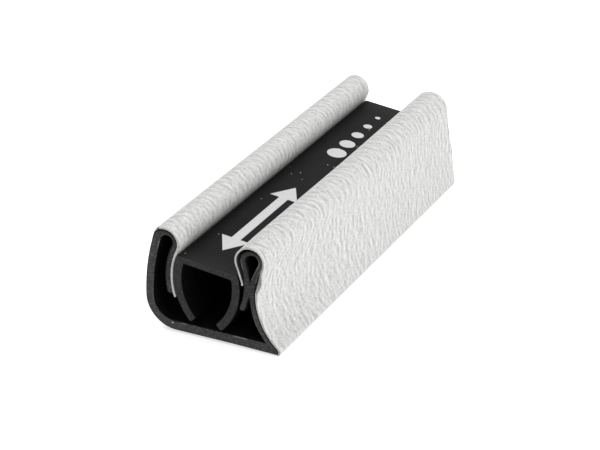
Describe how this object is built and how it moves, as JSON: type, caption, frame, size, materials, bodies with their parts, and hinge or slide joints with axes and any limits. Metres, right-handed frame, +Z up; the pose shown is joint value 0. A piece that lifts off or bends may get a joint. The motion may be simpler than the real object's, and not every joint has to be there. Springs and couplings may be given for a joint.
{
  "type": "sanding block",
  "caption": "Hand sanding block: a hollow rubber channel body wrapped in a sheet of abrasive paper, with a U-shaped insert wedged between its rolled lips to hold the sheet's tucked ends.",
  "frame": {"origin": "on the sanding face, under the middle of the block", "axes": "+Y along the block, +X from the bowed back wall to the hollow front wall, +Z up from the sanding face to the lips"},
  "size_m": [0.0392, 0.1142, 0.0294],
  "materials": {
    "body_rubber": "matt extruded rubber with a fine grain, dusty on the cut ends",
    "insert_plastic": "satin extruded flexible plastic",
    "backing_paper": "plain heavy paper, pale at its cut edges, with its back rubbed dark by the rubber",
    "abrasive_grain": "light grey fine abrasive grain with a dry anti-clog coat, faintly streaked"
  },
  "bodies": {
    "block": {"block_body": "body_rubber", "paper_backing": "backing_paper", "abrasive_coat": "abrasive_grain"},
    "insert": {"locking_insert": "insert_plastic"}
  },
  "joints": [
    {"name": "insert_slide", "type": "slide", "parent": "block", "child": "insert", "axis": [0, 1, 0], "range_m": [-0.116, 0.116]}
  ]
}
